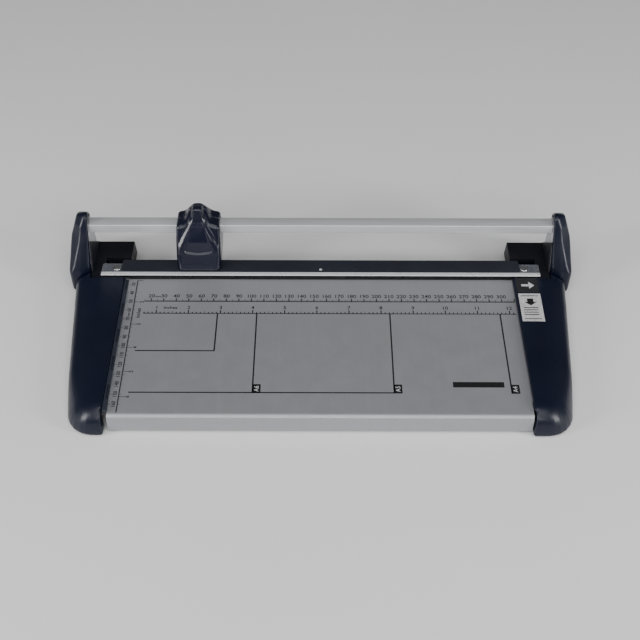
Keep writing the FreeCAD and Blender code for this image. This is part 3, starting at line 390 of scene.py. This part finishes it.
def rulers():
    ink = Print()
    inch = 25.4
    mm_line = 50
    inch_line = 63.8
    down_line = SCALE_ZERO + 6.75
    last = SCALE_ZERO + 310
    # millimetres across, ticks to the back and a number every ten
    ink.bar(SCALE_ZERO + 15, last, mm_line - 0.4, mm_line + 0.4)
    for step in range(15, 311):
        reach, half = tick(step, 10, 5, ((3.6, 0.42), (2.4, 0.2), (1.5, 0.15)))
        ink.bar(SCALE_ZERO + step - half, SCALE_ZERO + step + half, mm_line - reach, mm_line)
    for number in range(20, 301, 10):
        ink.text(str(number), 5.2, SCALE_ZERO + number, 43.9)
    ink.text("mm", 3.0, SCALE_ZERO + 25.3, 44.4)
    # inches across, in eighths
    ink.bar(SCALE_ZERO + inch * 0.6, last, inch_line - 0.4, inch_line + 0.4)
    for step in range(5, 98):
        reach, half = tick(step, 8, 4, ((3.8, 0.45), (2.4, 0.2), (1.7, 0.4)))
        x = SCALE_ZERO + inch * step / 8
        ink.bar(x - half, x + half, inch_line - reach, inch_line)
    for number in range(1, 13):
        ink.text(str(number), 5.0, SCALE_ZERO + inch * number, 57.2)
    ink.text("inches", 4.4, SCALE_ZERO + inch * 1.43, 57.4)
    # millimetres down the left edge
    ink.bar(SCALE_ZERO + 6.4, SCALE_ZERO + 7.1, 25.8, 168)
    for step in range(26, 168):
        reach = tick(step, 10, 5, (1.7, 1.2, 0.7))
        ink.bar(down_line, down_line + reach, step - 0.15, step + 0.15)
    for number in range(30, 161, 10):
        ink.bar(SCALE_ZERO + 0.2, SCALE_ZERO + 1.4, number - 0.2, number + 0.2)
        ink.text(str(number), 4.2, SCALE_ZERO + 4.0, number, turned=True)
    ink.text("mm", 2.6, SCALE_ZERO + 4.0, 65.0, turned=True)
    # inches down, beside it
    for number in range(1, 7):
        ink.bar(down_line, SCALE_ZERO + 11.2, inch * number - 0.2, inch * number + 0.2)
        if number > 1:
            ink.text(str(number), 4.4, SCALE_ZERO + 13.2, inch * number, turned=True)
    ink.text("inches", 4.4, SCALE_ZERO + 11.6, inch * 2.5, turned=True)
    ink.make("bed_rulers", "ink", "bed_paint")


FORMATS = {"A6": 105, "A5": 210, "A4": 297}     # how far each named size reaches along the cut
FORMAT_DEPTH = 148              # A6's long side and A5's short one
A7_WIDTH = 74
A7_DEPTH = 105


def format_lines():
    """Lines that show where the paper sizes reach to, with a named tab at each line's foot."""
    ink = Print()
    half = 0.55
    left = SCALE_ZERO + 13.4
    back = 64.2
    a7_edge = SCALE_ZERO + A7_WIDTH
    ink.bar(left, a7_edge, A7_DEPTH - half, A7_DEPTH + half)
    ink.bar(left, SCALE_ZERO + FORMATS["A5"], FORMAT_DEPTH - half, FORMAT_DEPTH + half)
    ink.bar(a7_edge - half, a7_edge + half, back, A7_DEPTH + half)
    for x in FORMATS.values():
        ink.bar(SCALE_ZERO + x - half, SCALE_ZERO + x + half, back, FORMAT_DEPTH + half)
        ink.bar(SCALE_ZERO + x, SCALE_ZERO + x + 6.0, 139.6, FORMAT_DEPTH + half)
    # a plain bar where the maker's lettering would stand
    ink.bar(SCALE_ZERO + 253.9, SCALE_ZERO + 292.0, 136.9, 142.3)
    ink.make("format_lines", "ink", "bed_paint")
    pale = Print(Print.THICK, 0.0)
    for name, x in FORMATS.items():
        pale.text(name, 5.0, SCALE_ZERO + x + 3.1, 144.1, turned=True)
    pale.make("format_names", "pale_ink", "bed_paint")


rulers()
format_lines()

# ---- shapes made from distance fields ------------------------------------------------------------
def both(a, b, k):
    """Inside a and b, with the edge between them rounded over about k."""
    near = np.maximum(k - np.abs(a - b), 0) / k
    return np.maximum(a, b) + near * near * k / 4


def either(a, b, k):
    """Inside a or b, with the corner between them filled over about k."""
    return -both(-a, -b, k)


def overlap(*fields):
    """Inside every one of the fields, with sharp edges."""
    return reduce(np.maximum, fields)


def mirrored(half):
    """An outline's right half, then the same corners back down the left."""
    return half + [(-corner[0], *corner[1:]) for corner in reversed(half)]


def arcs(corners):
    """Corners (a, b) or (a, b, radius), with each given radius turned into an arc of points."""
    points = []
    flat = [np.array(c[:2], float) for c in corners]
    for i, corner in enumerate(flat):
        radius = corners[i][2] if len(corners[i]) > 2 else 0
        if not radius:
            points.append(corner)
            continue
        into = flat[i - 1] - corner
        out = flat[(i + 1) % len(flat)] - corner
        into = into / np.hypot(*into)
        out = out / np.hypot(*out)
        half = math.acos(max(-1.0, min(1.0, float(into @ out)))) / 2
        middle = (into + out) / np.hypot(*(into + out))
        centre = corner + middle * radius / math.sin(half)
        first = corner + into * radius / math.tan(half) - centre
        last = corner + out * radius / math.tan(half) - centre
        for t in np.linspace(0, 1, 7):
            spoke = first * (1 - t) + last * t
            points.append(centre + spoke / np.hypot(*spoke) * radius)
    return points


def outline(a, b, corners):
    """Distance to a closed outline in the plane of a and b, negative inside."""
    points = arcs(corners)
    nearest = np.full(np.broadcast(a, b).shape, 1e9)
    inside = np.zeros(nearest.shape, bool)
    for i, end in enumerate(points):
        start = points[i - 1]
        run = end - start
        length = float(run @ run)
        if length < 1e-12:
            continue
        da = a - start[0]
        db = b - start[1]
        t = np.clip((da * run[0] + db * run[1]) / length, 0, 1)
        nearest = np.minimum(nearest, (da - t * run[0]) ** 2 + (db - t * run[1]) ** 2)
        crosses = (start[1] > b) != (end[1] > b)
        if abs(run[1]) > 1e-12:
            inside ^= crosses & (a < start[0] + (b - start[1]) * run[0] / run[1])
    distance = np.sqrt(nearest)
    return np.where(inside, -distance, distance)


def bar(a, low, high):
    """Distance to the stretch of a between low and high, negative inside."""
    return np.abs(a - (low + high) / 2) - (high - low) / 2


def ramp(value, start, end):
    """Goes smoothly from 0 at start to 1 at end."""
    t = np.clip((value - start) / (end - start), 0, 1)
    return t * t * (3 - 2 * t)


def skin(field, low, high, step):
    """Points and four-sided faces along a field's zero surface, a point in each cell it crosses."""
    axes = [np.arange(a - 2 * step, b + 2.5 * step, step) for a, b in zip(low, high)]
    value = field(axes[0][:, None, None], axes[1][None, :, None], axes[2][None, None, :])
    cells = tuple(n - 1 for n in value.shape)
    total = np.zeros((int(np.prod(cells)), 3))
    count = np.zeros(total.shape[0])
    quads = []
    for axis in range(3):
        first = [slice(None)] * 3
        second = [slice(None)] * 3
        first[axis] = slice(0, -1)
        second[axis] = slice(1, None)
        before = value[tuple(first)]
        after = value[tuple(second)]
        found = np.argwhere((before < 0) != (after < 0))
        a = before[tuple(found.T)]
        b = after[tuple(found.T)]
        point = found.astype(float)
        point[:, axis] += a / (a - b)
        others = [(axis + 1) % 3, (axis + 2) % 3]
        ring = []
        for i, j in ((0, 0), (1, 0), (1, 1), (0, 1)):
            cell = found.copy()
            cell[:, others[0]] -= i
            cell[:, others[1]] -= j
            index = np.ravel_multi_index(tuple(cell.T), cells)
            for k in range(3):
                total[:, k] += np.bincount(index, point[:, k], len(total))
            count += np.bincount(index, minlength=len(count))
            ring.append(index)
        ring = np.stack(ring, axis=1)
        ring[a >= 0] = ring[a >= 0][:, ::-1]
        quads.append(ring)
    quads = np.concatenate(quads)
    used = np.flatnonzero(count)
    number = np.zeros(len(count), int)
    number[used] = np.arange(len(used))
    points = total[used] / count[used][:, None] * step + np.array([a[0] for a in axes])
    return points, number[quads]


def moulding(name, field, low, high, step, finish, body, stands_for, keep, flip=False):
    """A smooth piece cut from a distance field, in place of CAD nodes.

    keep is the share of its faces left after thinning; flip mirrors it in x.
    """
    points, faces = skin(field, low, high, step)
    if flip:
        points = points * (-1, 1, 1)
    if not flip:
        faces = faces[:, ::-1]
    made = piece(name, points, faces.tolist(), finish, body)
    made.data.shade_smooth()
    even = made.modifiers.new("even", "SMOOTH")
    even.factor = 0.5
    even.iterations = 3
    thin = made.modifiers.new("thin", "DECIMATE")
    thin.ratio = keep
    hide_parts(*stands_for)


# ---- cutting head --------------------------------------------------------------------------------
# Corners seen from the side are (forward, rise) and from the front (x, rise), with x from the head's
# middle; a third value rounds the corner.
HEAD_SPLIT = -5.0
HEAD_SIDE = [(17.0, 4.85, 0.8), (14.8, 19, 12), (8.6, 33, 12), (4.2, 42.4, 4), (-1.5, 49.0, 5),
             (-9.2, 52.0, 4), (-14.6, 44, 4), (-18, 27, 20), (-20.6, 12, 1), (-8, 7.4, 8), (4, 4.85)]
HEAD_FRONT = mirrored([(18, 3), (17.9, 28, 60), (17.3, 40.4, 3.0), (10.6, 42.2, 6), (4, 54.9, 1)])
RIDGE_SIDE = [(18.9, 4.9, 0.8), (18.4, 11, 12), (12.4, 29, 20), (4.6, 44.5, 20), (1.0, 54.7, 2.5),
              (-9.2, 53.4, 3.5), (-14.6, 42, 20), (-18, 27), (-18, 20), (-8, 7.6), (4, 4.9)]
BOTTLE = mirrored([(15.9, 3), (16.1, 14, 40), (15.6, 23.5, 14), (12.8, 31, 18), (6.6, 41.0, 18),
                   (4.6, 47, 30), (4.0, 60)])
THUMB = mirrored([(10.9, 21.0, 1.2), (10.0, 25.5, 10), (4.6, 40.5, 2)]) + [(0, 19.4, 30)]
HEAD_WALL = 1.8
HEAD_SEAM = 0.07
HEAD_SCREWS = [(-13.0, 24.3), (13.0, 24.3)]


def head_outer(x, f, r, inset):
    """The head's outside, or its inside at an inset: a body, a bottle-shaped ridge, a thumb hollow."""
    body = both(outline(f, r, HEAD_SIDE) + inset, outline(x, r, HEAD_FRONT) + inset, 3.2)
    ridge_side = outline(f, r, RIDGE_SIDE) + inset
    ridge = both(ridge_side, outline(x, r, BOTTLE) + inset, 3.0)
    whole = either(body, ridge, 2.2)
    depth = 0.9 - 0.5 * ramp(r, 22, 38)
    thumb = both(outline(x, r, THUMB), -(ridge_side - inset + depth), 0.8)
    thumb = np.maximum(thumb, -f)
    return both(whole, inset * 0.8 - thumb, 1.2)


def head_shell(x, f, r):
    """The hollow head, open underneath, with a window through both flanks for the rail."""
    x = x - HEAD_X
    outer = head_outer(x, f, r, 0)
    hollow = head_outer(x, f, r, HEAD_WALL)
    mouth = overlap(bar(x, -16.2, 16.2), bar(f, -18, 15), bar(r, 0, 10.6))
    hollow = either(hollow, np.maximum(mouth, outer), 0.6)
    shell = both(outer, -hollow, 0.5)
    window = both(bar(f, -10.6, 0.6), bar(r, 28.9, 38.0), 1.0)
    window = np.maximum(window, 15 - np.abs(x))
    return both(shell, -window, 0.7)


def head_front(x, f, r):
    return both(head_shell(x, f, r), HEAD_SPLIT + HEAD_SEAM - f, 0.5)


def head_rear(x, f, r):
    shell = head_shell(x, f, r)
    # a boss, a bore and a counterbore for each screw
    for centre, rise in HEAD_SCREWS:
        reach = np.hypot(x - HEAD_X - centre, r - rise)
        shell = either(shell, np.maximum(reach - 2.6, bar(f, -18, HEAD_SPLIT)), 0.5)
        shell = both(shell, -np.maximum(reach - 1.3, f), 0.3)
        shell = both(shell, -np.maximum(reach - 2.1, f + 15.4), 0.4)
    return both(shell, f - HEAD_SPLIT + HEAD_SEAM, 0.5)


HEAD_LEFT = HEAD_X - 18.2
HEAD_RIGHT = HEAD_X + 18.2
moulding("head_front_cover", head_front, (HEAD_LEFT, -5.2, 4), (HEAD_RIGHT, 19.2, 55.2), 0.42,
         "head", "head", ["head_front_shell"], 0.5)
moulding("head_rear_cover", head_rear, (HEAD_LEFT, -21, 4), (HEAD_RIGHT, -4.8, 55.2), 0.42,
         "head", "head", ["head_rear_shell"], 0.5)

# ---- towers --------------------------------------------------------------------------------------
# Both ends are worked out as the right-hand one, and the left-hand one is its mirror image.
TOWER_IN = 187.5                # the towers' inner face
SKIRT = -16.5                   # how low the towers and side covers reach
TOWER_WALL = 2.5
TOWER_SIDE = [(-28.4, SKIRT), (-23.5, 0, 30), (-13.1, 40.8, 4), (-2, 48.8, 5), (7.4, 27, 40),
              (15.5, 3, 20), (15.5, SKIRT)]
TOWER_FRONT = [(TOWER_IN, SKIRT, 0.8), (TOWER_IN, 49, 1.5), (TOWER_IN + 1.8, 48.8, 1.5),
               (197.3, 43.0, 4), (202.8, 26, 25), (205.2, 2, 30), (204.2, SKIRT, 0.8)]
TOWER_OPEN = [(TOWER_IN - 4, SKIRT - 4), (TOWER_IN - 4, 46.4), (TOWER_IN + 2, 46.2),
              (194.6, 41.2, 2), (200.3, 26, 25), (202.7, 2, 30), (201.6, SKIRT - 4)]
# the slanting cheek's face goes through one point at each rise, given by (rise, forward) and (rise, x)
CHEEK_FRONT = [(-20, 15.5), (3, 15.5), (9.5, 11.5), (18, 9), (27, 7), (37, 5), (47, 0)]
CHEEK_CREASE = [(-20, 203.2), (3, 202.6), (9.5, 201.6), (17, 199.3), (29, 194.6), (41, 190.6),
                (49, 188)]


def swell(x):
    """How much further forward the tower's foot reaches at x than at its inner face."""
    return 0.66 * np.clip(x - TOWER_IN, 0, 7.6)


def tower(x, f, r):
    lean = f - swell(x) * (1 - ramp(r, -2, 36)) * ramp(f, -16, 4)
    side = outline(lean, r, TOWER_SIDE)
    front_at = np.interp(r, *zip(*CHEEK_FRONT))
    crease_at = np.interp(r, *zip(*CHEEK_CREASE))
    cheek = (x - crease_at) * 0.72 + (lean - front_at) * 0.69
    body = both(both(side, outline(x, r, TOWER_FRONT), 3.4), cheek, 1.4)
    below = SKIRT - 6
    deep_side = [(-30.2, below)] + TOWER_SIDE[1:-1] + [(15.5, below)]
    deep = outline(f, r, deep_side) + TOWER_WALL
    inner = both(both(deep, outline(x, r, TOWER_OPEN), 1), cheek + TOWER_WALL, 1)
    return both(body, -inner, 0.5)


for side_name, flip in (("right", False), ("left", True)):
    moulding(side_name + "_tower_fin", tower, (TOWER_IN, -28.6, SKIRT), (205.3, 21, 49), 0.55, "navy", "base",
             [side_name + "_tower_cap"], 0.5, flip)

# ---- side covers ---------------------------------------------------------------------------------
COVER_WALL = 2.2
COVER_TOP = 4.0
NOSE = 176.0                    # the covers' front ends
STAND_OFF_FROM = 166.3          # from here forward the covers stand clear of the bed's lip
BOSS_X = 169.6
BOSS_PLACES = (48, 95, 142)
FOOT_X = 172.6
FOOT_PLACE = 160


def cover_edge(f):
    """The covers' outer edge, which draws in towards the front."""
    return 201.9 - 0.089 * f


def roof(x, f, r):
    """Distance above a side cover's top, which falls away outboard of a crease."""
    crease = 184.8 - (f - 23) * 0.1294
    return both(r - COVER_TOP, (r - COVER_TOP) * 0.93 + (x - crease) * 0.37, 3.0)


def cover(inner):
    """The field of a side cover whose edge over the bed stands at x = inner."""
    rear = 15.9
    beyond = inner - 30
    outer_line = [(beyond, rear), (cover_edge(rear), rear, 1.5), (cover_edge(NOSE), NOSE, 21),
                  (beyond, NOSE)]

    def shape(x, f, r):
        plan = outline(x, f, outer_line)
        top = roof(x, f, r)
        roll = 6 + 12 * ramp(f, 120, 170)
        outer = both(plan, top, roll)
        outer = both(outer, SKIRT - r, 0.8)
        stand_off = 1.1 - 0.9 * ramp(-r, 3, 17)
        wall = np.where(f < STAND_OFF_FROM, inner, inner + stand_off) - x
        outer = both(outer, wall, 2.2)
        start = np.where(x < TOWER_IN, 24.5, 16.3 + swell(x))
        outer = both(outer, start - f, 1.2)
        deep = both(plan + COVER_WALL, top + COVER_WALL, roll)
        deep = both(deep, wall + COVER_WALL, 1)
        deep = both(deep, start + COVER_WALL - f, 1)
        shell = both(outer, -deep, 0.6)
        # room for the bed's edge and the side rail, and for the rear channel's end
        tuck = overlap(bar(x, inner - 1, inner + 3.2), bar(f, 23, 166), r - 0.05)
        channel = overlap(bar(x, inner - 1, TOWER_IN), bar(f, 22, 32.1), r + 1.8)
        shell = both(shell, -np.minimum(tuck, channel), 0.4)
        for place in BOSS_PLACES:
            reach = np.hypot(x - BOSS_X, f - place)
            boss = overlap(reach - 3.2, bar(r, SKIRT + 3.1, 3), outer + 1.0)
            shell = either(shell, boss, 0.8)
            shell = np.maximum(shell, -np.maximum(reach - 1.2, r + 4))
        reach = np.hypot(x - FOOT_X, f - FOOT_PLACE)
        pad = overlap(reach - 9, bar(r, SKIRT, 2), outer + 1.0)
        shell = either(shell, pad, 0.8)
        return np.maximum(shell, -np.maximum(reach - 7.1, r - SKIRT - 1.5))

    return shape


for side_name, flip, inner in (("right", False, 155.6), ("left", True, 158.4)):
    moulding(side_name + "_arm", cover(inner), (inner, 16, SKIRT), (198.8, NOSE, 4.1), 0.75, "navy", "base",
             [side_name + "_side_cover"], 0.45, flip)


class Sticker:
    """Thin films laid on the right-hand side cover's top, following its slope."""

    FILM = 0.06

    def __init__(self, lift):
        self.points = []
        self.faces = []
        self.lift = lift

    def patch(self, corners, cells=8):
        """A four-cornered film; corners (x, forward) go round, the first side being its rear edge."""
        start = len(self.points)
        a, b, c, d = [np.array(corner, float) for corner in corners]
        side = cells + 1
        for layer in (0, self.FILM):
            for j in range(side):
                for i in range(side):
                    u = i / cells
                    v = j / cells
                    x, f = (a * (1 - u) + b * u) * (1 - v) + (d * (1 - u) + c * u) * v
                    rise = COVER_TOP - roof(x, f, COVER_TOP) / 0.98
                    self.points.append((x, f, rise + self.lift + layer))
        upper = start + side * side
        for j in range(cells):
            for i in range(cells):
                k = i + j * side
                ring = (k, k + 1, k + 1 + side, k + side)
                self.faces.append(tuple(upper + n for n in ring[::-1]))
                self.faces.append(tuple(start + n for n in ring))
        rim = list(range(cells)) + [cells + j * side for j in range(cells)]
        rim += [side * side - 1 - i for i in range(cells)] + [(cells - j) * side for j in range(cells)]
        for k, n in enumerate(rim):
            after = rim[(k + 1) % len(rim)]
            self.faces.append((start + after, start + n, upper + n, upper + after))

    def oblong(self, x0, x1, forward0, forward1, cells=8):
        self.patch([(x0, forward0), (x1, forward0), (x1, forward1), (x0, forward1)], cells)

    def make(self, name, finish):
        piece(name, self.points, self.faces, finish, "base")


def stickers():
    dark = Sticker(0.02)
    dark.oblong(157.8, 174.8, 25.8, 43.0)
    dark.make("dark_label", "dark_label")
    pale = Sticker(0.02)
    pale.oblong(157.8, 175.4, 44.2, 75.8)
    pale.make("pale_label", "label")
    # an arrow along the cut on the dark label, and plain rules on the pale one
    white = Sticker(0.085)
    white.oblong(161.5, 167.5, 33.2, 35.6, 4)
    white.patch([(167.5, 30.4), (171.8, 34.2), (171.8, 34.6), (167.5, 38.4)], 4)
    white.make("label_arrow", "label")
    black = Sticker(0.085)
    black.oblong(159.8, 173.2, 46.4, 47.2, 4)
    black.oblong(159.8, 173.2, 72.6, 73.4, 4)
    for forward in (60.0, 62.6, 65.2, 67.8):
        black.oblong(160.4, 171.8, forward, forward + 0.9, 4)
    black.patch([(164.0, 50.0), (169.0, 50.0), (169.0, 54.0), (164.0, 54.0)], 4)
    black.patch([(161.8, 54.0), (171.2, 54.0), (166.7, 57.8), (166.3, 57.8)], 4)
    black.make("label_rules", "ink")


stickers()

# ---- floor, light and camera ---------------------------------------------------------------------
def ground():
    mesh = bpy.data.meshes.new("floor")
    half = 6.0
    corners = [(-half, -half, 0), (half, -half, 0), (half, half, 0), (-half, half, 0)]
    mesh.from_pydata(corners, [], [(0, 1, 2, 3)])
    floor = bpy.data.objects.new("floor", mesh)
    bpy.context.scene.collection.objects.link(floor)
    g = Graph("floor_paper")
    g.join(g.tint(g.noise(3, 2), (0.78, 0.78, 0.78), (0.80, 0.80, 0.80)), g.shader.inputs["Base Color"])
    g.set(Roughness=0.9, Specular_IOR_Level=0.1)
    mesh.materials.append(g.material)


def softbox(name, place, aim, size, power):
    data = bpy.data.lights.new(name, "AREA")
    data.shape = "RECTANGLE"
    data.size, data.size_y = size
    data.energy = power
    lamp = bpy.data.objects.new(name, data)
    bpy.context.scene.collection.objects.link(lamp)
    lamp.location = place
    direction = np.array(aim, float) - np.array(place, float)
    lamp.rotation_euler = Vector(direction).to_track_quat("-Z", "Y").to_euler()


def studio():
    ground()
    softbox("top_box", (0, -0.9, 2.0), (0, -0.05, 0), (2.4, 1.6), 29)
    softbox("front_box", (0, -1.9, 1.2), (0, 0, 0), (2.0, 0.5), 17)
    softbox("left_box", (-1.15, -0.55, 0.45), (0, 0, 0.02), (0.3, 0.6), 10)
    softbox("right_box", (1.15, -0.55, 0.45), (0, 0, 0.02), (0.3, 0.6), 10)
    world = bpy.data.worlds.new("studio")
    bpy.context.scene.world = world
    world.use_nodes = True
    background = world.node_tree.nodes["Background"]
    background.inputs["Color"].default_value = (1, 1, 1, 1)
    background.inputs["Strength"].default_value = 0.11


def camera():
    data = bpy.data.cameras.new("camera")
    data.lens = 66.25
    data.sensor_width = 36
    holder = bpy.data.objects.new("camera", data)
    bpy.context.scene.collection.objects.link(holder)
    holder.location = (-0.0004, -0.6606, 0.6624)
    tilt = Matrix.Rotation(math.radians(45.83), 3, "X")
    roll = Matrix.Rotation(math.radians(0.16), 3, "Z")
    holder.rotation_euler = (tilt @ roll).to_euler()
    bpy.context.scene.camera = holder


studio()
camera()
